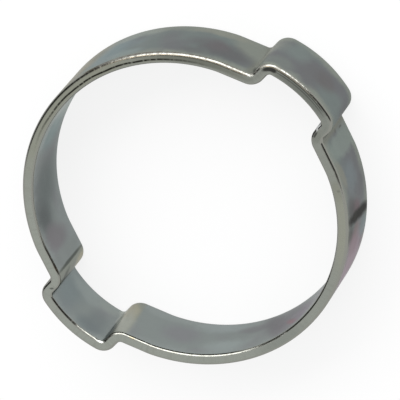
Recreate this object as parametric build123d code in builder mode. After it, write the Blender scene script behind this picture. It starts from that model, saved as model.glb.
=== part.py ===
from build123d import *
import os
from math import acos, asin, cos, degrees, radians, sin

# Two-ear hose clamp, open, as it is before it is closed on a hose.
#
# One closed band of flat steel with an ear pressed out on each side of the ring, the ears opposite each
# other. The band is one piece with no seam, so the model is one solid.
#
# Frame: millimetres, +Z up. The clamp lies flat on the XY plane on its lower rim. The origin is the centre
# of the ring on that plane. The ears point along +X and -X.

os.makedirs("parts", exist_ok=True)

# The band
open_diameter = 43.0    # inside diameter of the open clamp
strip_thickness = 1.6   # thickness of the steel
band_width = 10.0       # width of the band, along Z
rim_radius = 0.5        # rounding of the two outside edges of the band
edge_break = 0.3        # chamfer of the two inside edges, which takes their bite off the hose

# The ears
ear_gap = 9.6           # inside width of an ear
ear_rise = 3.4          # height of the inside of an ear's crown above the bore
crown_radius = 16.0     # inside radius of an ear's crown
shoulder_radius = 0.6   # radius on the inside of the bend between a crown and a flank
foot_radius = 0.7       # radius on the inside of the bend at a flank's foot, on the clamp's outer face

# The straight stretch beside each ear
straight_end = 27.5     # degrees round the ring, from an ear's middle to the far end of the stretch
kink_angle = 4.5        # degrees the strip turns there, from the round ring into the stretch
kink_radius = 10.0      # inside radius of that slight turn

# What follows from them
bore_radius = open_diameter / 2
crown_centre_x = bore_radius + ear_rise - crown_radius
straight_facing = straight_end - kink_angle                 # degrees, the way the stretch faces outwards
straight_depth = bore_radius * cos(radians(kink_angle))     # how far its inside stands from the ring's axis


def outline(outside):
    """The whole outline of the clamp, this far outside the bore side of the strip.

    Its lines and arcs all stand off the bore side's by that distance, so two outlines lie evenly spaced
    all the way round. The corners are drawn sharp, then rounded from the ring outwards.
    """
    ring_radius = bore_radius + outside
    crown_arc = crown_radius + outside
    half_width = ear_gap / 2 + outside
    depth = straight_depth + outside
    crown_end = degrees(asin(half_width / crown_arc))
    ring_start = straight_facing + degrees(acos(depth / ring_radius))
    foot_x = (depth - half_width * sin(radians(straight_facing))) / cos(radians(straight_facing))
    with BuildSketch() as shape:
        with BuildLine():
            crown = CenterArc((crown_centre_x, 0), crown_arc, -crown_end, 2 * crown_end)
            ring = CenterArc((0, 0), ring_radius, ring_start, 180 - 2 * ring_start)
            flank = Line(crown @ 1, (foot_x, half_width))
            straight = Line(flank @ 1, ring @ 0)
            lower_flank = mirror(flank, about=Plane.XZ)
            lower_straight = mirror(straight, about=Plane.XZ)
            mirror(ring, about=Plane.XZ)
            mirror([crown, flank, straight, lower_flank, lower_straight], about=Plane.YZ)
        make_face()
        kinks = shape.vertices().group_by(Axis.X)
        fillet(kinks[2] + kinks[-3], kink_radius + outside)
        feet = shape.vertices().group_by(Axis.X)
        fillet(feet[1] + feet[-2], foot_radius + strip_thickness - outside)
        shoulders = shape.vertices().group_by(Axis.X)
        fillet(shoulders[0] + shoulders[-1], shoulder_radius + outside)
    return shape.sketch


band_outside = outline(strip_thickness)
band_inside = outline(0)

# The band. A rim is the flat face at either end of it, between the band's outside and inside edges.
with BuildPart() as clamp_band:
    with BuildSketch():
        add(band_outside)
        add(band_inside, mode=Mode.SUBTRACT)
    extrude(amount=band_width)
    rims = clamp_band.faces().filter_by(Axis.Z)
    fillet(rims[0].outer_wire().edges() + rims[1].outer_wire().edges(), rim_radius)
    rims = clamp_band.faces().filter_by(Axis.Z)
    chamfer(rims[0].inner_wires()[0].edges() + rims[1].inner_wires()[0].edges(), edge_break)

clamp_band.part.label = "clamp_band"
export_step(clamp_band.part, "parts/clamp_band.step")
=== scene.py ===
from math import atan2, cos, pi, radians, sin, sqrt, tan
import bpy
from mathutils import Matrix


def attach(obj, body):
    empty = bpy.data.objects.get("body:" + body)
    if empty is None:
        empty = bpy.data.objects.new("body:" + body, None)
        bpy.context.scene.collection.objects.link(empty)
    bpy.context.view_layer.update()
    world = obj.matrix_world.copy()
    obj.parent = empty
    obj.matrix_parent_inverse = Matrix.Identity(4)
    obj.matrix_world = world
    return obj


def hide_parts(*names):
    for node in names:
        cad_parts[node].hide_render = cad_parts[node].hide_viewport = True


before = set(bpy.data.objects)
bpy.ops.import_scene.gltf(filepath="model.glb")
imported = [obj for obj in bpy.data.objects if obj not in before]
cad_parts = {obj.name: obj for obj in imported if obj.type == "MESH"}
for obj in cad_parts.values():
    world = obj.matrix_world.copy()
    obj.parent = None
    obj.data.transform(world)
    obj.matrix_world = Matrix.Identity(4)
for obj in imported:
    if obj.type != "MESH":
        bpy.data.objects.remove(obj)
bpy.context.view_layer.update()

from types import SimpleNamespace

import bpy
import numpy as np
from mathutils import Matrix, Quaternion, Vector

# Two-ear hose clamp, open: one closed band of zinc-plated steel that lies on its lower rim.
#
# Frame: +Z up, with the origin at the centre of the ring on the floor. The ears point along +X and -X, and
# the one along +X is the first. Sizes are in mm and angles in degrees, unless a comment says otherwise.

MM = 0.001    # metres


def to_linear(code):
    """An sRGB hex colour such as '7f8583' as linear red, green, blue and alpha: a dark channel is divided by
    12.92, and a lighter one is offset by 0.055, scaled and raised to the power of 2.4."""
    values = np.array([int(code[i:i + 2], 16) for i in (0, 2, 4)]) / 255
    low = values / 12.92
    high = ((values + 0.055) / 1.055) ** 2.4
    return (*np.where(values <= 0.04045, low, high), 1.0)


def add_object(name, data):
    """A new object in the scene, at the origin, that holds a mesh, a camera or a lamp."""
    made = bpy.data.objects.new(name, data)
    bpy.context.scene.collection.objects.link(made)
    return made


# ---------------------------------------------------------------------------
# The shape: one strip of sheet steel, carried round a closed outline
# ---------------------------------------------------------------------------

# Driving sizes, which are the CAD part's own, but for the last two
BORE_RADIUS = 21.5
THICKNESS = 1.6
BAND_WIDTH = 10.0
OUTER_RIM_RADIUS = 0.5
EAR_GAP = 9.6
EAR_RISE = 3.4
CROWN_RADIUS = 16.0
SHOULDER_RADIUS = 0.6
FOOT_RADIUS = 0.7
STRAIGHT_END = 27.5      # degrees
KINK_ANGLE = 4.5         # degrees
KINK_RADIUS = 10.0
INNER_RIM_RADIUS = 0.4   # the CAD part has a chamfer of 0.3 there
INSIDE_BOX = 0.0075      # how far the outer faces stay inside the CAD part's box

# How many points lie along each part of a quarter of the outline
CROWN_POINTS = 22
SHOULDER_POINTS = 20
FLANK_POINTS = 10
FOOT_POINTS = 22
STRAIGHT_POINTS = 26
KINK_POINTS = 6
RING_POINTS = 70

# How many points lie along each part of the section
HALF_WALL_POINTS = 11
RIM_POINTS = 4
CORNER_POINTS = 9


def arc_points(centre, radius, start, end, count, bends_out):
    """Points and outward normals along a circular arc: centre + radius * (cos a, sin a), with a from start up
    to, but not including, end. The outward normal is the radial direction, or its opposite where the bend is
    hollow."""
    angle = np.linspace(start, end, count, endpoint=False)
    radial = np.stack([np.cos(angle), np.sin(angle)], axis=1)
    return np.array(centre) + radius * radial, radial * (1 if bends_out else -1)


def line_points(start, end, normal, count):
    """Points evenly spaced from start up to, but not including, end, all with the same normal."""
    share = np.linspace(0, 1, count, endpoint=False)[:, None]
    start, end = np.array(start), np.array(end)
    return start + share * (end - start), np.tile(normal, (count, 1))


def quarter_outline():
    """A quarter of the bore side of the strip, from the middle of an ear's crown to the top of the ring:
    crown arc, shoulder bend, straight flank, hollow foot bend, straight stretch, kink and ring arc, all
    tangent in turn."""
    half_gap = EAR_GAP / 2
    crown_x = BORE_RADIUS + EAR_RISE - CROWN_RADIUS
    shoulder_y = half_gap - SHOULDER_RADIUS
    shoulder_x = crown_x + sqrt((CROWN_RADIUS - SHOULDER_RADIUS) ** 2 - shoulder_y ** 2)
    shoulder_start = atan2(shoulder_y, shoulder_x - crown_x)
    facing = radians(STRAIGHT_END - KINK_ANGLE)
    out = np.array([cos(facing), sin(facing)])
    depth = BORE_RADIUS * cos(radians(KINK_ANGLE))
    foot_radius = FOOT_RADIUS + THICKNESS
    foot_y = half_gap + foot_radius
    foot_x = (depth + foot_radius - out[1] * foot_y) / out[0]
    kink_along = sqrt((BORE_RADIUS - KINK_RADIUS) ** 2 - (depth - KINK_RADIUS) ** 2)
    kink = out * (depth - KINK_RADIUS) + np.array([-out[1], out[0]]) * kink_along
    kink_end = atan2(kink[1], kink[0])
    straight_start = (foot_x, foot_y) - out * foot_radius
    straight_finish = kink + out * KINK_RADIUS
    parts = [
        arc_points((crown_x, 0), CROWN_RADIUS, 0, shoulder_start, CROWN_POINTS, True),
        arc_points((shoulder_x, shoulder_y), SHOULDER_RADIUS, shoulder_start, pi / 2, SHOULDER_POINTS, True),
        line_points((shoulder_x, half_gap), (foot_x, half_gap), (0, 1), FLANK_POINTS),
        arc_points((foot_x, foot_y), foot_radius, -pi / 2, facing - pi, FOOT_POINTS, False),
        line_points(straight_start, straight_finish, out, STRAIGHT_POINTS),
        arc_points(kink, KINK_RADIUS, facing, kink_end, KINK_POINTS, True),
        arc_points((0, 0), BORE_RADIUS, kink_end, pi / 2, RING_POINTS, True),
    ]
    return [np.concatenate(values) for values in zip(*parts)]


def once_round(quarter, top, far):
    """The rows of a quarter, mirrored in x and then in y, with those of the ring's top and its -X end."""
    half = np.concatenate([quarter, [top], (quarter[1:] * (-1, 1))[::-1]])
    return np.concatenate([half, [far], (half[1:] * (1, -1))[::-1]])


def closed_outline():
    """The whole bore side, once round: its points, its outward normals, and the distance along it to each
    point and back to the first."""
    points, normals = quarter_outline()
    ring = once_round(points, (0, BORE_RADIUS), points[0] * (-1, 1))
    ring_normals = once_round(normals, (0, 1), (-1, 0))
    steps = np.roll(ring, -1, axis=0) - ring
    along = np.concatenate([[0.0], np.cumsum(np.hypot(steps[:, 0], steps[:, 1]))])
    return ring, ring_normals, along


def section():
    """The strip's cross-section: a rectangle with rounded corners, once round from the middle of the
    bore-side wall, going down, out, up and back. Each place has its depth from the bore side and its height,
    the angle that its normal has turned through since the start, in quarter turns, and its distance round."""
    width, thickness, outer, inner = BAND_WIDTH, THICKNESS, OUTER_RIM_RADIUS, INNER_RIM_RADIUS
    middle = width / 2
    flat = thickness - outer - inner
    wall = np.linspace(0, 1, HALF_WALL_POINTS, endpoint=False)
    rim = np.linspace(0, 1, RIM_POINTS, endpoint=False)
    turn = np.linspace(0, 1, CORNER_POINTS, endpoint=False)
    cosine, sine = np.cos(turn * pi / 2), np.sin(turn * pi / 2)
    # The depth, height and quarter turns of each part: half a wall, an edge, a rim, an edge, half a wall, and
    # then the same on the way back
    parts = [
        (0 * wall, middle + wall * (inner - middle), 0 * wall),
        (inner - inner * cosine, inner - inner * sine, turn),
        (inner + rim * flat, 0 * rim, 1 + 0 * rim),
        (thickness - outer + outer * sine, outer - outer * cosine, 1 + turn),
        (thickness + 0 * wall, outer + wall * (middle - outer), 2 + 0 * wall),
        (thickness + 0 * wall, middle + wall * (middle - outer), 2 + 0 * wall),
        (thickness - outer + outer * cosine, width - outer + outer * sine, 2 + turn),
        (thickness - outer - rim * flat, width + 0 * rim, 3 + 0 * rim),
        (inner - inner * sine, width - inner + inner * cosine, 3 + turn),
        (0 * wall, width - inner + wall * (middle - width + inner), 4 + 0 * wall),
    ]
    depth, height, lean = [np.concatenate(values) for values in zip(*parts)]
    steps = np.hypot(np.roll(depth, -1) - depth, np.roll(height, -1) - height)
    return depth, height, lean, np.concatenate([[0.0], np.cumsum(steps)])


def quad_mesh(name, points, quads):
    """A smooth mesh, from an array of its points in metres and one of the four points of each face."""
    mesh = bpy.data.meshes.new(name)
    mesh.vertices.add(len(points))
    mesh.vertices.foreach_set("co", points.astype(np.float32).ravel())
    mesh.loops.add(quads.size)
    mesh.loops.foreach_set("vertex_index", quads.astype(np.int32).ravel())
    mesh.polygons.add(len(quads))
    mesh.polygons.foreach_set("loop_start", np.arange(0, quads.size, 4, dtype=np.int32))
    mesh.update(calc_edges=True)
    mesh.shade_smooth()
    return mesh


def make_band():
    """The band as one closed surface: the point at outline station i and section corner j is the outline
    point plus its normal times the corner's depth, at the corner's height. Neighbouring stations and corners
    are joined by quads, both ways round. The UV map holds the distance along the strip and round its section,
    in mm. Four attributes help the finish: depth from the bore side in mm, outwardness and upwardness, the
    parts of the section's normal that point out of the ring and up, and from_ear, the distance along to the
    nearer ear in mm."""
    ring, normals, along = closed_outline()
    depth, height, lean, around = section()
    rows, columns = len(ring), len(depth)
    shown_depth = np.minimum(depth, THICKNESS - INSIDE_BOX)
    flat = ring[:, None, :] + normals[:, None, :] * shown_depth[None, :, None]
    z = np.broadcast_to(height, (rows, columns))[..., None]
    points = np.concatenate([flat, z], axis=2).reshape(-1, 3) * MM
    i, j = np.meshgrid(np.arange(rows), np.arange(columns), indexing="ij")
    next_i, next_j = (i + 1) % rows, (j + 1) % columns
    corners = [i * columns + j, i * columns + next_j, next_i * columns + next_j, next_i * columns + j]
    mesh = quad_mesh("band", points, np.stack(corners, axis=-1).reshape(-1, 4))
    u = np.stack([along[i], along[i], along[i + 1], along[i + 1]], axis=-1)
    v = np.stack([around[j], around[j + 1], around[j + 1], around[j]], axis=-1)
    strip = mesh.uv_layers.new(name="strip")
    strip.data.foreach_set("uv", np.stack([u, v], axis=-1).astype(np.float32).ravel())
    half = along[-1] / 2
    from_ear = np.abs((along[:-1] + half / 2) % half - half / 2)
    values = {
        "depth": np.tile(depth, rows),
        "outwardness": np.tile(-np.cos(lean * pi / 2), rows),
        "upwardness": np.tile(-np.sin(lean * pi / 2), rows),
        "from_ear": np.repeat(from_ear, columns),
    }
    for name, value in values.items():
        layer = mesh.attributes.new(name, "FLOAT", "POINT")
        layer.data.foreach_set("value", value.astype(np.float32))
    return add_object("band", mesh)


# ---------------------------------------------------------------------------
# The finish
# ---------------------------------------------------------------------------

# The settings of the nodes that are used most
PLUS = {"operation": "ADD"}
MINUS = {"operation": "SUBTRACT"}
TIMES = {"operation": "MULTIPLY"}
TIMES_PLUS = {"operation": "MULTIPLY_ADD"}
LARGER = {"operation": "MAXIMUM"}
SMOOTH = {"interpolation_type": "SMOOTHSTEP"}
COLOURS = {"data_type": "RGBA"}
VALUES = {"data_type": "FLOAT"}

# Colours of the passivation's film
BLUE_OUTSIDE = "767f7d"
VIOLET_OUTSIDE = "717375"
MARGIN_OUTSIDE = "888e86"
BLUE_INSIDE = "878e8c"
VIOLET_INSIDE = "858889"
MARGIN_INSIDE = "8e9593"
OLIVE_BEND = "7c7f76"
STRAW_BEND = "8b8f87"

# Colours of the rims and edges
PALE_RIM = "969b93"
DARK_RIM = "8a8e87"
SHEAR_MARK = "6f7069"
BARE_EDGE = "8d8e87"
SCUFFED_EDGE = "7b7a74"
POLISHED_EDGE = "94958e"
STRAW_FRINGE = "715a3b"
# Painted shade, which darkens the band between the wall and the highlight
EDGE_SHADE = "5f544f"
# Dark lines: partly burrs the shear left, partly painted dark reflection beside the bright edges
BURR_AND_DARK_REFLECTION = "1b1a15"
# Soil and painted shade, made as dark non-metal
DARK_SOIL_AND_SHADE = "181814"
GRAZING_TINT = "d7d7d7"                 # of what the metal reflects at a low angle

# Noises. Each has the size of its grains, how many of them fit in that size along each axis, its detail and
# its roughness. Marks, streaks and scuffs are longer round the strip's section than along it. The real widths
# are estimates for such strip, and weren't measured
WISPS = (2.9, (1, 1, 1), 3.0, 0.55)                  # in the film
CLOUDS = (7.7, (1, 1, 1), 1.0, 0.5)                  # in the film
RIM_MARKS = (0.42, (1.0, 0.12, 1.0), 2.0, 0.6)       # drawn coarser to show: real ones near 0.1 mm wide
STREAKS = (0.6, (1.0, 0.22, 1.0), 3.0, 0.65)         # drawn coarser to show: real ones near 0.05 mm wide
LINE_WAVES = (4.0, (1, 1, 1), 2.0, 0.5)              # of the burnt line on the rim
ROLLING_MARKS = (0.83, (0.5, 0.5, 1.0), 3.0, 0.6)    # drawn coarser to show: real ones near 0.3 mm wide
SCUFFS = (0.71, (1.0, 0.5, 1.0), 3.0, 0.65)          # drawn coarser to show: real ones near 0.1 mm wide

# Distances along the strip
STRIP_LENGTH = 145.33    # once round the bore side
CUT = 112.5              # past it, the finish counts backwards from the first ear, as on_strip does

# Bands on the strip, each with its low end, its high end and the soft distance at both. Upwardness and
# outwardness say how far the surface faces up and out, from -1 to 1, and steepness is upwardness without its
# sign
BLUE_ZONE = (1.6, 8.9, 1.6)             # height, between the film's two margins
OLIVE_BENDS = (5.1, 9.2, 0.9)           # from the nearer ear's middle, on the outside
STRAW_BENDS = (6.5, 8.9, 0.6)           # the same, on the bore side
DULL_BENDS = (4.7, 7.1, 0.6)            # the same, on the outside
EDGES = (0.22, 0.975, 0.14)             # steepness
UPPER_EDGES = (0.20, 0.93, 0.10)        # upwardness
OUTER_WEAR = (-1.0, 30.0, 4.0)          # along, from the first ear
BORE_WEAR = (73.0, 101.0, 2.0)          # along, from the second ear
FRINGE = (0.88, 0.985, 0.06)            # upwardness
FRINGE_GAP = (5.0, 8.8, 0.4)            # along
SHADE = (0.0, 0.50, 0.12)               # upwardness
SHADE_LENGTH = (10.0, 30.0, 5.0)        # along
SHEAR_LINE = (0.50, 0.74, 0.10)         # depth
SHEAR_LENGTH = (17.0, 41.0, 11.0)       # along
UNDER_EDGE = (1.10, 1.22, 0.08)         # depth
ON_EAR = (-3.4, 4.4, 1.0)               # along
BESIDE_EAR = (9.0, 25.0, 3.0)           # along

# What a measure or a noise turns into: its low and high ends, and what they give where that isn't 0 and 1
TO_OUTSIDE = (-0.1, 0.1)                # outwardness
TO_TOP_RIM = (0.9, 0.98)                # upwardness
TO_RIMS = (0.35, 0.85)                  # steepness
TO_WALLS = (0.15, 0.45, 1.0, 0.0)       # steepness
TO_DARK_RIM = (-22.0, 20.0)             # x, so the rims are paler on the -X half
CLOUDS_TO_VIOLET = (0.44, 0.62)
WISPS_TO_WANDER = (0.3, 0.7, -0.5, 0.5)            # mm up or down
MARKS_TO_COLOUR = (0.45, 0.75, 0.0, 0.26)
STREAKS_TO_POLISH = (0.40, 0.60)
STREAKS_TO_FRINGE = (0.35, 0.65, 0.3, 0.9)
STREAKS_TO_SHADE = (0.40, 0.60, 0.9, 0.3)
WISPS_TO_ROUGHNESS = (0.3, 0.7, 0.33, 0.41)        # of the walls
MARKS_TO_ROUGHNESS = (0.3, 0.7, 0.30, 0.38)        # of the rims
STREAKS_TO_ROUGHNESS = (0.38, 0.60, 0.42, 0.14)    # of the worn edges
WAVES_TO_WANDER = (0.3, 0.7, -0.05, 0.05)          # mm in or out
MARKS_TO_BREAKS = (0.30, 0.50, 0.35, 1.0)
WEAR_TO_SCUFFS = (0.0, 1.0, 1.0, 5.0)

# Strengths and roughnesses
BORE_WEAR_STRENGTH = 0.5
EDGE_ROUGHNESS = 0.17                   # where the edges aren't worn
DULL_ROUGHNESS = 0.22                   # added in the foot bends, where the plate is duller
SOIL_AND_SHADE_ROUGHNESS = 0.45                   # added by soil and painted shade
BESIDE_EAR_STRENGTH = 0.85
UNDER_EDGE_STRENGTH = 0.7
DARK_LINE_SOFTNESS = 0.12                    # of a dark line's sides, as upwardness
DARK_LINE_NONMETAL = 0.2                         # how much of a dark line is made non-metal
RAGGEDNESS = 0.5                        # how much of the wisps a spot's outline takes up
SPOT_OUTLINE = 0.25                     # a spot's gradient at its outline, less the wisps
RELIEF = 0.000006                       # metres


def node(tree, kind, settings, *inputs, out=0, **named):
    """Adds one node, with its settings and its links, and returns one of its outputs. The inputs are values
    or other nodes' outputs, in the order of its sockets or by their names, and a text is a colour's hex
    code."""
    made = tree.nodes.new("ShaderNode" + kind)
    for name, value in settings.items():
        setattr(made, name, value)
    pairs = list(zip([s for s in made.inputs if s.enabled], inputs))
    pairs += [(made.inputs[name.replace("_", " ")], value) for name, value in named.items()]
    for socket, value in pairs:
        if isinstance(value, bpy.types.NodeSocket):
            tree.links.new(value, socket)
        else:
            socket.default_value = to_linear(value) if isinstance(value, str) else value
    if isinstance(out, str):
        return made.outputs[out]
    shown = [s for s in made.outputs if s.enabled]
    return shown[out] if shown else None


def cleared_tree(owner):
    """The node tree of a material or a world, with its first nodes taken out."""
    owner.use_nodes = True
    owner.node_tree.nodes.clear()
    return owner.node_tree


def overlap(tree, *masks):
    """Where all of the masks are, each of them from 0 to 1: their product."""
    made = masks[0]
    for mask in masks[1:]:
        made = node(tree, "Math", TIMES, made, mask)
    return made


def between(tree, value, low, high, soft):
    """A mask that is 1 between low and high, and 0 beyond them: a smooth rise times a smooth fall, each of
    them over the soft distance."""
    rise = node(tree, "MapRange", SMOOTH, value, low - soft / 2, low + soft / 2)
    fall = node(tree, "MapRange", SMOOTH, value, high - soft / 2, high + soft / 2, 1.0, 0.0)
    return node(tree, "Math", TIMES, rise, fall)


def grain(tree, place, size, stretch, detail, roughness):
    """Soft noise about 0.5. The size of its grains is in mm, and stretch says how many of them fit in that
    size."""
    placed = node(tree, "Mapping", {}, place, Scale=stretch)
    return node(tree, "TexNoise", {}, placed, Scale=1 / size, Detail=detail, Roughness=roughness, out="Fac")


def spot(tree, place, centre, half_size, turn, ragged, soft):
    """A mask that is 1 inside an oval and 0 outside it. The place is a point as (along, across), and the oval
    has a centre and half sizes in mm and a turn in degrees. The spherical gradient falls from 1 in the middle
    to 0.5 at the half sizes, and ragged, a noise about 0.25, makes the outline uneven."""
    local = node(tree, "Mapping", {"vector_type": "TEXTURE"}, place, Rotation=(0, 0, radians(turn)),
                 Location=(on_strip(centre[0]), centre[1], 0), Scale=(2 * half_size[0], 2 * half_size[1], 1))
    nearness = node(tree, "TexGradient", {"gradient_type": "SPHERICAL"}, local, out="Fac")
    nearness = node(tree, "Math", MINUS, nearness, ragged)
    return node(tree, "MapRange", SMOOTH, nearness, SPOT_OUTLINE - soft / 2, SPOT_OUTLINE + soft / 2)


def on_strip(along):
    """A distance along the strip, from 0 to its length, as the finish counts it: less than 0 past the cut."""
    return along - STRIP_LENGTH if along > CUT else along


# Stains and clouds in the passivation, and among them a few rows of painted shade and painted highlight,
# which are marked, in the order they are laid. Each has the side of the strip that it is on, its middle as
# distance along the strip and height, or on the rim distance along and depth, its half sizes, its turn in
# degrees, its colour, its strength and its softness.
STAINS_AND_PAINTED_LIGHT = (
    ("outer", (0.6, 5.6), (1.7, 3.0), 15, "6f7071", 0.7, 0.6),           # violet cloud on the first ear
    ("outer", (3.3, 3.0), (1.6, 2.6), -10, "7c8683", 0.8, 0.6),
    ("outer", (3.9, 7.8), (1.3, 1.3), 0, "7d847f", 0.7, 0.6),
    ("outer", (6.1, 4.2), (1.2, 4.2), -10, "90928a", 0.8, 0.5),          # pale film on the foot bend
    ("outer", (10.2, 3.0), (3.2, 2.4), -48, "868b83", 0.9, 0.4),         # grey-green corner by the foot bend
    ("outer", (13.4, 6.2), (3.9, 2.3), -12, "676869", 0.9, 0.5),         # the darkest of the violet
    ("outer", (14.2, 5.2), (1.6, 1.6), 0, "6f6a6c", 0.5, 0.6),
    ("outer", (20.8, 4.6), (1.2, 2.4), 0, "716e73", 0.45, 0.8),
    ("outer", (28.8, 5.4), (3.0, 4.0), -20, "7c9193", 0.75, 0.7),        # the bluest part
    ("outer", (27.0, 1.5), (3.6, 1.2), 0, "979f98", 0.75, 0.6),
    ("outer", (25.8, 8.2), (2.2, 1.0), 0, "8a9896", 0.7, 0.6),
    ("outer", (16.6, 8.2), (1.8, 1.1), 0, "6a6c6c", 0.7, 0.6),
    ("outer", (35.0, 5.4), (3.4, 6.2), -24, "8e8b76", 0.9, 0.6),         # straw patch on the +Y side
    ("outer", (14.6, 1.3), (3.4, 0.8), 0, "8e9086", 0.7, 0.5),
    ("outer", (117.8, 5.2), (4.2, 4.6), -24, "a08995", 0.85, 0.65),      # rose cloud
    ("outer", (121.2, 6.6), (1.5, 2.4), -30, "8a717b", 0.8, 0.5),
    ("outer", (121.8, 2.0), (1.4, 1.7), -25, "7a8a8b", 0.8, 0.5),
    ("outer", (123.0, 5.8), (1.0, 1.2), 0, "7d6d6c", 0.7, 0.6),
    ("outer", (125.8, 5.6), (1.0, 1.8), -15, "6f6064", 0.9, 0.5),
    ("outer", (126.4, 7.8), (1.3, 1.5), 0, "5c5b5b", 0.8, 0.6),
    ("outer", (128.6, 3.6), (1.9, 3.2), -20, "6e7072", 0.7, 0.6),
    ("outer", (130.2, 5.8), (2.0, 2.2), -20, "7a8487", 0.7, 0.6),
    ("outer", (131.4, 8.5), (1.9, 0.9), 10, "898b80", 0.8, 0.5),
    ("outer", (134.3, 4.6), (1.6, 5.6), 0, "88928c", 0.8, 0.35),
    ("outer", (143.8, 4.6), (1.4, 1.9), 0, "6b6867", 0.6, 0.6),
    ("outer", (123.1, 8.7), (1.0, 1.3), 0, "474941", 0.7, 0.8),
    ("outer", (6.4, 8.9), (1.4, 0.6), -33, "444842", 0.8, 0.6),          # shade in the foot bend's crease
    ("outer", (135.9, 2.5), (0.12, 0.5), 0, "4c4a42", 0.6, 0.4),
    ("outer", (136.1, 4.6), (0.14, 0.4), 30, "4c4a42", 0.5, 0.4),
    ("bore", (40.4, 4.6), (2.8, 6.5), 15, "abb6b0", 0.9, 0.6),           # pale patch on the +Y side
    ("bore", (43.8, 5.4), (2.8, 3.8), 20, "7d9493", 0.8, 0.6),
    ("bore", (43.2, 8.7), (2.4, 1.1), 0, "9ba6a2", 0.7, 0.6),
    ("bore", (52.2, 5.4), (4.6, 3.6), 20, "666e6d", 0.85, 0.7),
    ("bore", (56.5, 7.5), (2.1, 2.6), 35, "5b6060", 0.8, 0.8),
    ("bore", (59.4, 1.8), (3.2, 1.4), 0, "8a9190", 0.8, 0.6),
    ("bore", (59.9, 5.8), (1.8, 3.2), 12, "7c797c", 0.8, 0.5),           # violet cloud before the bend
    ("bore", (62.6, 5.0), (1.0, 5.4), 0, "868c8a", 0.8, 0.5),
    ("bore", (63.9, 5.2), (0.24, 4.6), 0, "3f4541", 0.75, 0.5),          # the start of the bend
    ("bore", (65.6, 1.6), (1.0, 1.9), -15, "b4b09a", 0.8, 0.5),
    ("bore", (65.5, 8.2), (0.5, 1.9), -20, "3f4540", 0.6, 0.6),
    ("bore", (69.6, 4.8), (2.2, 4.6), 0, "7a8587", 0.65, 0.7),
    ("bore", (71.8, 1.8), (2.8, 1.6), 0, "929a98", 0.8, 0.6),
    ("bore", (74.3, 8.2), (2.0, 1.6), 0, "747d7f", 0.7, 0.6),
    ("bore", (75.8, 1.4), (1.9, 1.2), 0, "929995", 0.8, 0.6),
    ("bore", (75.2, 6.4), (1.7, 2.8), 0, "757c7d", 0.7, 0.6),
    ("bore", (79.1, 4.0), (1.1, 5.2), -14, "c8cac0", 0.9, 0.65),         # pale film, partly painted light against the bend's dark reflection
    ("bore", (80.0, 2.8), (1.2, 2.8), -14, "a7a38f", 0.8, 0.5),          # straw patch on the foot bend inside
    ("bore", (80.6, 6.4), (0.9, 3.4), -6, "a2a59c", 0.8, 0.65),
    # painted light: pale against the dark reflection in the foot bend inside
    ("bore", (78.3, 4.2), (0.6, 2.2), -14, "dcded4", 0.7, 0.6),
    ("bore", (88.2, 4.8), (2.6, 2.2), 15, "828386", 0.8, 0.6),
    ("bore", (93.4, 1.6), (3.2, 1.4), 0, "979f9f", 0.7, 0.6),
    ("bore", (95.6, 7.6), (2.8, 1.8), 0, "98a2a0", 0.75, 0.7),
    ("bore", (105.6, 5.2), (2.6, 4.6), -20, "76747a", 0.8, 0.6),
    ("bore", (98.8, 3.2), (2.4, 1.1), 8, "777579", 0.6, 0.6),
    ("bore", (102.5, 4.4), (4.6, 1.6), 64, "6d6a6f", 0.75, 0.6),         # dark violet cloud
    ("bore", (106.3, 7.0), (2.1, 0.55), 50, "8a626c", 0.8, 0.6),         # rose streak
    ("bore", (108.2, 6.2), (1.6, 3.2), -20, "7f7782", 0.8, 0.6),
    ("rim", (0.8, 0.82), (3.8, 0.5), 0, "66665e", 0.5, 0.6),             # brown-grey, both ways from the ear
    ("rim", (144.6, 0.8), (3.6, 1.2), 0, "6e726c", 0.8, 0.5),
    ("rim", (16.0, 0.84), (7.4, 0.4), 0, "64665c", 0.72, 0.6),
    ("rim", (35.0, 0.8), (12.0, 1.2), 0, "8b8c7e", 0.7, 0.5),            # olive part
    ("rim", (67.0, 0.6), (0.34, 0.15), 40, "4c4f4a", 0.8, 0.5),
    ("rim", (105.0, 0.8), (3.4, 1.0), 0, "828680", 0.7, 0.6),
    ("rim", (129.6, 0.9), (1.4, 0.8), 0, "787a6f", 0.6, 0.6),
    ("rim", (138.4, 0.7), (1.3, 0.8), 0, "767971", 0.6, 0.6),
    ("rim", (129.8, 1.0), (0.16, 0.22), 0, "4f504c", 0.7, 0.5),
    ("rim", (124.0, 0.9), (6.0, 1.0), 0, "939487", 0.7, 0.5),
    ("outer_edge", (30.4, 9.64), (1.3, 0.24), 0, "4a4436", 0.8, 0.4),
    ("bore_edge", (63.0, 9.8), (0.7, 0.25), 0, "5c4a36", 0.6, 0.5),
    ("bore_edge", (82.6, 9.9), (0.35, 0.3), 0, "8a8068", 0.7, 0.5),
    # painted highlight: a glint on the bore-side edge
    ("bore_edge", (77.2, 9.86), (0.6, 0.2), 0, "d8dad4", 0.9, 0.4),
    # painted highlight: a small glint on the bore-side edge
    ("bore_edge", (105.6, 9.93), (0.55, 0.1), 0, "e8e8e0", 0.9, 0.4),
    ("bore_edge", (139.75, 9.85), (0.5, 0.26), 0, "fbfcfb", 1.0, 0.25),  # painted highlight, a glint where the foot bend's edge catches the lamp
)

# Thin dark lines on the upper edges: partly burnt lines that the shear left, and partly painted dark
# reflection beside the bright edges. Each has its side, its start and end along the strip, the soft distance
# of its ends, its lowest and highest upwardness, and its strength.
BURRS_AND_DARK_REFLECTIONS = (
    ("outer", 26.0, 42.0, 10.0, 0.66, 0.95, 0.95),
    ("outer", 131.0, 136.3, 1.5, 0.64, 0.93, 0.7),
    ("outer", 140.9, 144.6, 0.6, 0.64, 0.93, 0.7),
    ("bore", 59.5, 63.8, 2.5, 0.20, 0.74, 0.7),
    ("bore", 68.3, 73.2, 0.6, 0.42, 0.88, 0.9),
    ("bore", 80.0, 98.5, 2.0, 0.10, 0.58, 0.95),
    ("bore", 106.0, 114.0, 2.5, 0.58, 0.92, 0.8),
)
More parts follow.
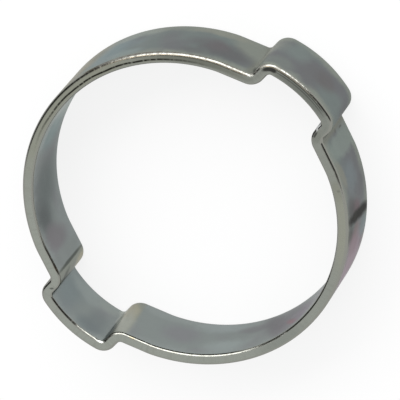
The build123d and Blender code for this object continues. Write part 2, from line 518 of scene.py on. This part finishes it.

# Dark marks that aren't metal: soil as dark dried residue, painted shade in the crease and in the foot
# bends, and a dark band across the outside. Each row is as a stain's, without its colour.
SOIL_AND_SHADE = (
    ("rim", (0.6, 0.87), (4.6, 0.10), 0, 0.7, 0.4),
    ("rim", (4.6, 0.92), (0.55, 0.36), 0, 1.0, 0.35),        # painted shade deep in the crease of the first ear
    ("outer", (124.6, 4.8), (0.90, 6.4), -7, 1.0, 0.50),     # one dark diagonal band across the outside
    ("outer", (125.0, 7.6), (1.9, 2.2), -12, 0.4, 0.8),
    ("bore_edge", (138.7, 9.75), (0.75, 0.6), 0, 1.0, 0.3),  # in the foot bends: painted shade beside the painted glints, as in the next two rows
    ("bore_edge", (76.8, 9.72), (0.45, 0.14), 0, 0.9, 0.4),
    ("rim", (138.7, 0.40), (0.6, 0.16), 0, 0.9, 0.3),
)


def read_strip(tree):
    """What the finish goes by at each point. Lengths, in mm: across is x, height is z, along is the distance
    along the strip, depth is that from its bore side, and from_ear is that to the nearer ear. Points, in mm:
    place is x, y and z, strip is along and round the section, wall is along and height, and rim is along and
    depth. Which way the surface faces: upward. Masks from 0 to 1: outside, inside, top_rim, rims, walls,
    edges, outer_wear, wear and breaks. Noises about 0.5: wisps, marks and streaks."""
    at = SimpleNamespace()
    place = node(tree, "TexCoord", {}, out="Object")
    at.place = node(tree, "VectorMath", {"operation": "SCALE"}, place, Scale=1 / MM)
    at.across = node(tree, "SeparateXYZ", {}, at.place, out="X")
    at.height = node(tree, "SeparateXYZ", {}, at.place, out="Z")
    at.strip = node(tree, "UVMap", {"uv_map": "strip"})
    along = node(tree, "SeparateXYZ", {}, at.strip, out="X")
    past_cut = node(tree, "Math", {"operation": "GREATER_THAN"}, along, CUT)
    at.along = node(tree, "Math", TIMES_PLUS, past_cut, -STRIP_LENGTH, along)
    at.depth = node(tree, "Attribute", {"attribute_name": "depth"}, out="Fac")
    outward = node(tree, "Attribute", {"attribute_name": "outwardness"}, out="Fac")
    at.upward = node(tree, "Attribute", {"attribute_name": "upwardness"}, out="Fac")
    at.from_ear = node(tree, "Attribute", {"attribute_name": "from_ear"}, out="Fac")
    at.wall = node(tree, "CombineXYZ", {}, at.along, at.height)
    at.rim = node(tree, "CombineXYZ", {}, at.along, at.depth)
    steepness = node(tree, "Math", {"operation": "ABSOLUTE"}, at.upward)
    at.outside = node(tree, "MapRange", SMOOTH, outward, *TO_OUTSIDE)
    at.inside = node(tree, "Math", MINUS, 1.0, at.outside)
    at.top_rim = node(tree, "MapRange", SMOOTH, at.upward, *TO_TOP_RIM)
    at.rims = node(tree, "MapRange", SMOOTH, steepness, *TO_RIMS)
    at.walls = node(tree, "MapRange", SMOOTH, steepness, *TO_WALLS)
    at.edges = between(tree, steepness, *EDGES)
    at.wisps = grain(tree, at.place, *WISPS)
    at.marks = grain(tree, at.strip, *RIM_MARKS)
    at.streaks = grain(tree, at.strip, *STREAKS)
    at.outer_wear = overlap(tree, at.outside, between(tree, at.along, *OUTER_WEAR))
    bore_wear = overlap(tree, at.inside, between(tree, at.along, *BORE_WEAR), BORE_WEAR_STRENGTH)
    at.wear = node(tree, "Math", LARGER, at.outer_wear, bore_wear)
    at.breaks = node(tree, "MapRange", SMOOTH, at.marks, *MARKS_TO_BREAKS)
    return at


def film_colour(tree, at):
    """The passivated walls: a blue-grey zone in the middle of the strip, with slow violet clouds 8 mm wide,
    between grey-green margins 1.6 mm wide whose borders wander by wisps of 3 mm. In the bends the film looks
    olive outside and straw inside."""
    clouds = grain(tree, at.place, *CLOUDS)
    violet = node(tree, "MapRange", SMOOTH, clouds, *CLOUDS_TO_VIOLET)
    outer_zone = node(tree, "Mix", COLOURS, violet, BLUE_OUTSIDE, VIOLET_OUTSIDE)
    bore_zone = node(tree, "Mix", COLOURS, violet, BLUE_INSIDE, VIOLET_INSIDE)
    zone = node(tree, "Mix", COLOURS, at.inside, outer_zone, bore_zone)
    margin = node(tree, "Mix", COLOURS, at.inside, MARGIN_OUTSIDE, MARGIN_INSIDE)
    wander = node(tree, "MapRange", SMOOTH, at.wisps, *WISPS_TO_WANDER)
    zone_height = node(tree, "Math", PLUS, at.height, wander)
    colour = node(tree, "Mix", COLOURS, between(tree, zone_height, *BLUE_ZONE), margin, zone)
    outer_bends = overlap(tree, between(tree, at.from_ear, *OLIVE_BENDS), at.outside)
    inner_bends = overlap(tree, between(tree, at.from_ear, *STRAW_BENDS), at.inside)
    colour = node(tree, "Mix", COLOURS, outer_bends, colour, OLIVE_BEND)
    return node(tree, "Mix", COLOURS, inner_bends, colour, STRAW_BEND)


def add_rims(tree, at, colour):
    """The rims: sheared and satin, paler on the -X half, with fine marks across the strip's thickness."""
    end = node(tree, "MapRange", SMOOTH, at.across, *TO_DARK_RIM)
    rim = node(tree, "Mix", COLOURS, end, PALE_RIM, DARK_RIM)
    marked = node(tree, "MapRange", SMOOTH, at.marks, *MARKS_TO_COLOUR)
    rim = node(tree, "Mix", COLOURS, marked, rim, SHEAR_MARK)
    return node(tree, "Mix", COLOURS, at.rims, colour, rim)


def add_edges(tree, at, colour):
    """The edges: burnished in the press, so they are the brightest and smoothest. They are worn into broken
    streaks, with a straw fringe, on the outside next to the first ear, and less so on the bore side next to
    the second. Streaked painted shade darkens the outer edge there between the wall and the highlight."""
    polish = node(tree, "MapRange", SMOOTH, at.streaks, *STREAKS_TO_POLISH)
    worn_edge = node(tree, "Mix", COLOURS, polish, SCUFFED_EDGE, POLISHED_EDGE)
    edge = node(tree, "Mix", COLOURS, at.wear, BARE_EDGE, worn_edge)
    off_bend = node(tree, "Math", MINUS, 1.0, between(tree, at.along, *FRINGE_GAP))
    streaked = node(tree, "MapRange", SMOOTH, at.streaks, *STREAKS_TO_FRINGE)
    fringe = overlap(tree, between(tree, at.upward, *FRINGE), at.outer_wear, off_bend, streaked)
    edge = node(tree, "Mix", COLOURS, fringe, edge, STRAW_FRINGE)
    length = between(tree, at.along, *SHADE_LENGTH)
    streaked = node(tree, "MapRange", SMOOTH, at.streaks, *STREAKS_TO_SHADE)
    shade = overlap(tree, between(tree, at.upward, *SHADE), at.outer_wear, length, streaked)
    edge = node(tree, "Mix", COLOURS, shade, edge, EDGE_SHADE)
    return node(tree, "Mix", COLOURS, at.edges, colour, edge)


def plate_roughness(tree, at):
    """The plate's roughness: rolled satin walls that are duller in the foot bends, finer rims, and edges that
    shine where they aren't scuffed."""
    wall = node(tree, "MapRange", SMOOTH, at.wisps, *WISPS_TO_ROUGHNESS)
    rim = node(tree, "MapRange", SMOOTH, at.marks, *MARKS_TO_ROUGHNESS)
    worn = node(tree, "MapRange", SMOOTH, at.streaks, *STREAKS_TO_ROUGHNESS)
    edge = node(tree, "Mix", VALUES, at.wear, EDGE_ROUGHNESS, worn)
    foot_bends = overlap(tree, between(tree, at.from_ear, *DULL_BENDS), at.outside)
    wall = node(tree, "Math", TIMES_PLUS, foot_bends, DULL_ROUGHNESS, wall)
    rough = node(tree, "Mix", VALUES, at.rims, wall, rim)
    return node(tree, "Mix", VALUES, at.edges, rough, edge)


def burrs_and_dark_reflections(tree, at):
    """The shear's bright band ends in a thin dark burnt line, and the dark lines beside the bright edges are
    partly painted dark reflection. They show on half of the upper rim, just under the outer edge at the first
    ear, and on the edges that the table above lists. The strongest of the lines counts."""
    wander = node(tree, "MapRange", SMOOTH, grain(tree, at.strip, *LINE_WAVES), *WAVES_TO_WANDER)
    line_depth = node(tree, "Math", PLUS, at.depth, wander)
    length = between(tree, at.along, *SHEAR_LENGTH)
    dark_line = overlap(tree, between(tree, line_depth, *SHEAR_LINE), length, at.top_rim, at.breaks)
    for side, start, end, fade, low, high, strength in BURRS_AND_DARK_REFLECTIONS:
        length = between(tree, at.along, on_strip(start), on_strip(end), fade)
        line = overlap(tree, between(tree, at.upward, low, high, DARK_LINE_SOFTNESS), length,
                       at.outside if side == "outer" else at.inside, at.breaks, strength)
        dark_line = node(tree, "Math", LARGER, dark_line, line)
    beside_ear = overlap(tree, between(tree, at.along, *BESIDE_EAR), at.breaks, BESIDE_EAR_STRENGTH)
    length = node(tree, "Math", LARGER, between(tree, at.along, *ON_EAR), beside_ear)
    line = overlap(tree, between(tree, at.depth, *UNDER_EDGE), length, at.top_rim, UNDER_EDGE_STRENGTH)
    return node(tree, "Math", LARGER, dark_line, line)


def plate_relief(tree, at):
    """Rolling marks 0.8 mm wide, twice as long and 0.006 mm high on the walls, and scuffs up to five times as
    high on the worn edges."""
    wall = grain(tree, at.place, *ROLLING_MARKS)
    scuffs = grain(tree, at.strip, *SCUFFS)
    scuffs = node(tree, "Math", TIMES, scuffs, node(tree, "MapRange", SMOOTH, at.wear, *WEAR_TO_SCUFFS))
    height = node(tree, "Mix", VALUES, at.edges, wall, scuffs)
    return node(tree, "Bump", {}, Height=height, Strength=1.0, Distance=RELIEF)


def make_zinc():
    """Bright zinc plate with a clear blue passivation, electroplated on mild steel strip that was slit,
    blanked and bent. The walls keep the rolled steel's satin and show the film's blue, violet and straw
    clouds, the edges are burnished bright by the tool and worn, and the rims are the sheared steel's fine
    satin. Stains, with some painted shade and painted highlights, lie over the film. Dark lines, partly burrs
    and partly painted dark reflection, lie over the stains, and soil and painted shade, which aren't metal,
    lie over all."""
    material = bpy.data.materials.new("clear_blue_zinc_plate")
    tree = cleared_tree(material)
    at = read_strip(tree)
    colour = film_colour(tree, at)
    colour = add_rims(tree, at, colour)
    colour = add_edges(tree, at, colour)

    upper_edges = between(tree, at.upward, *UPPER_EDGES)
    sides = {
        "outer": (at.wall, overlap(tree, at.outside, at.walls)),
        "outer_edge": (at.wall, overlap(tree, at.outside, upper_edges)),
        "bore": (at.wall, overlap(tree, at.inside, at.walls)),
        "bore_edge": (at.wall, overlap(tree, at.inside, upper_edges)),
        "rim": (at.rim, at.top_rim),
    }
    ragged = node(tree, "Math", TIMES, at.wisps, RAGGEDNESS)
    # Stains, and the rows of painted shade and painted highlight, laid over the film
    for side, middle, half_size, turn, code, strength, soft in STAINS_AND_PAINTED_LIGHT:
        place, mask = sides[side]
        oval = spot(tree, place, middle, half_size, turn, ragged, soft)
        colour = node(tree, "Mix", COLOURS, overlap(tree, oval, mask, strength), colour, code)

    rough = plate_roughness(tree, at)
    # Dark lines, partly burrs and partly painted dark reflection
    dark_line = burrs_and_dark_reflections(tree, at)
    colour = node(tree, "Mix", COLOURS, dark_line, colour, BURR_AND_DARK_REFLECTION)

    # Soil and painted shade, neither of them metal
    soil_and_shade = node(tree, "Math", TIMES, dark_line, DARK_LINE_NONMETAL)
    for side, middle, half_size, turn, strength, soft in SOIL_AND_SHADE:
        place, mask = sides[side]
        oval = spot(tree, place, middle, half_size, turn, ragged, soft)
        soil_and_shade = node(tree, "Math", LARGER, soil_and_shade, overlap(tree, oval, mask, strength))
    colour = node(tree, "Mix", COLOURS, soil_and_shade, colour, DARK_SOIL_AND_SHADE)
    metal = node(tree, "Math", MINUS, 1.0, soil_and_shade)
    rough = node(tree, "Math", TIMES_PLUS, soil_and_shade, SOIL_AND_SHADE_ROUGHNESS, rough)

    shader = node(tree, "BsdfPrincipled", {}, colour, metal, rough, Normal=plate_relief(tree, at),
                  Specular_Tint=GRAZING_TINT)
    node(tree, "OutputMaterial", {}, shader)
    return material


# ---------------------------------------------------------------------------
# The studio
# ---------------------------------------------------------------------------

# The key lamp, a flat soft one. Azimuths run from +X towards +Y
KEY_AZIMUTH = 50.0
KEY_ELEVATION = 33.0
KEY_SPREAD = 50.0        # half the azimuth that it covers
KEY_REACH = 19.0         # half the elevation that it covers
KEY_TILT = 20.0          # its +X end is the higher
KEY_DISTANCE = 0.8       # metres
KEY_RADIANCE = 4.5

# Two black card flags beside it
FLAGS = ((-30.0, 15.0, 57.0), (122.0, 2.0, 48.0))    # each one's azimuth, lowest and highest elevation
FLAG_SPREAD = 24.0       # half the azimuth that each covers
FLAG_DISTANCE = 0.5      # metres
BLACK_CARD = "1c1c1c"

# The floor
FLOOR_HALF = 6.0         # metres
FLOOR_PAINT = "e8e8e8"
SHOWN_PAINT = "616161"   # what the camera and the metal see of the paint
FLOOR_GLOW = 0.82        # what brings it up to white
WHITE = "ffffff"

# The camera
CAMERA_PLACE = (258.198, 30.452, 451.063)
CAMERA_FORWARD = (-0.499667, -0.060657, -0.864091)
CAMERA_UP = (0.614186, 0.678625, -0.402795)
SENSOR_WIDTH = 36.0
LENS = 341.6
NEAREST = 0.01           # metres
FARTHEST = 20.0          # metres


def panel(name, azimuth, distance, half_width, low, high):
    """An upright rectangle that faces the object: distance out along the azimuth, half the width to either
    side, and from the low height to the high one, all in metres."""
    out = np.array([cos(radians(azimuth)), sin(radians(azimuth))])
    side = np.array([-out[1], out[0]])
    left, right = out * distance - side * half_width, out * distance + side * half_width
    mesh = bpy.data.meshes.new(name)
    mesh.from_pydata([(*left, low), (*right, low), (*right, high), (*left, high)], [], [(0, 1, 2, 3)])
    return add_object(name, mesh)


def make_flags():
    """Two black card flags beside the soft lamp, which give the bright edges their dark lines. Only the
    metal's reflections show them."""
    material = bpy.data.materials.new("black_card")
    tree = cleared_tree(material)
    node(tree, "OutputMaterial", {}, node(tree, "BsdfDiffuse", {}, BLACK_CARD))
    half_width = FLAG_DISTANCE * tan(radians(FLAG_SPREAD))
    for i, (azimuth, low, high) in enumerate(FLAGS):
        flag = panel(f"flag_{i}", azimuth, FLAG_DISTANCE, half_width,
                     FLAG_DISTANCE * tan(radians(low)), FLAG_DISTANCE * tan(radians(high)))
        flag.data.materials.append(material)
        flag.visible_camera = False
        flag.visible_diffuse = False
        flag.visible_shadow = False


def make_floor():
    """A plain pale floor. It shows white to the camera and in the metal, and keeps the object's soft
    shadow."""
    mesh = bpy.data.meshes.new("floor")
    corners = [(x * FLOOR_HALF, y * FLOOR_HALF, 0) for x, y in ((-1, -1), (1, -1), (1, 1), (-1, 1))]
    mesh.from_pydata(corners, [], [(0, 1, 2, 3)])
    floor = add_object("floor", mesh)
    material = bpy.data.materials.new("white_floor")
    tree = cleared_tree(material)
    seen = node(tree, "LightPath", {}, out="Is Camera Ray")
    for kind in ("Is Glossy Ray", "Is Transmission Ray"):
        ray = node(tree, "LightPath", {}, out=kind)
        seen = node(tree, "Math", {"operation": "ADD", "use_clamp": True}, seen, ray)
    paint = node(tree, "BsdfDiffuse", {}, FLOOR_PAINT)
    shown_paint = node(tree, "BsdfDiffuse", {}, SHOWN_PAINT)
    shown = node(tree, "AddShader", {}, shown_paint, node(tree, "Emission", {}, WHITE, FLOOR_GLOW))
    node(tree, "OutputMaterial", {}, node(tree, "MixShader", {}, seen, paint, shown))
    mesh.materials.append(material)


def make_world():
    """An even white world, which fills the shadows."""
    world = bpy.data.worlds.new("studio")
    bpy.context.scene.world = world
    tree = cleared_tree(world)
    node(tree, "OutputWorld", {}, node(tree, "Background", {}, WHITE, 1.0))


def make_camera():
    """The camera at its place, turned so that it looks forward and its up direction shows upright."""
    data = bpy.data.cameras.new("camera")
    data.sensor_width = SENSOR_WIDTH
    data.lens = LENS
    data.clip_start = NEAREST
    data.clip_end = FARTHEST
    camera = add_object("camera", data)
    forward = Vector(CAMERA_FORWARD).normalized()
    right = forward.cross(Vector(CAMERA_UP)).normalized()
    up = right.cross(forward)
    turn = Matrix((right, up, -forward)).transposed().to_4x4()
    camera.matrix_world = Matrix.Translation(Vector(CAMERA_PLACE) * MM) @ turn
    bpy.context.scene.camera = camera


def make_key_lamp():
    """The key lamp: a flat rectangle that faces the object, as wide and as high as it takes to cover its
    spread and reach from its distance, and turned about its own axis by its tilt. Its power is its radiance
    times pi times its area."""
    data = bpy.data.lights.new("key", "AREA")
    data.shape = "RECTANGLE"
    width = 2 * KEY_DISTANCE * tan(radians(KEY_SPREAD))
    height = 2 * KEY_DISTANCE * tan(radians(KEY_REACH))
    data.size = width
    data.size_y = height
    data.energy = KEY_RADIANCE * pi * width * height
    lamp = add_object("key", data)
    azimuth, elevation = radians(KEY_AZIMUTH), radians(KEY_ELEVATION)
    way = Vector((cos(azimuth) * cos(elevation), sin(azimuth) * cos(elevation), sin(elevation)))
    lamp.location = way * KEY_DISTANCE
    lamp.rotation_mode = "QUATERNION"
    lamp.rotation_quaternion = way.to_track_quat("Z", "Y") @ Quaternion((0, 0, 1), radians(KEY_TILT))


bpy.context.scene.view_settings.view_transform = "Standard"
band = make_band()
band.data.materials.append(make_zinc())
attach(band, "root")
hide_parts("clamp_band")
make_floor()
make_flags()
make_world()
make_camera()
make_key_lamp()
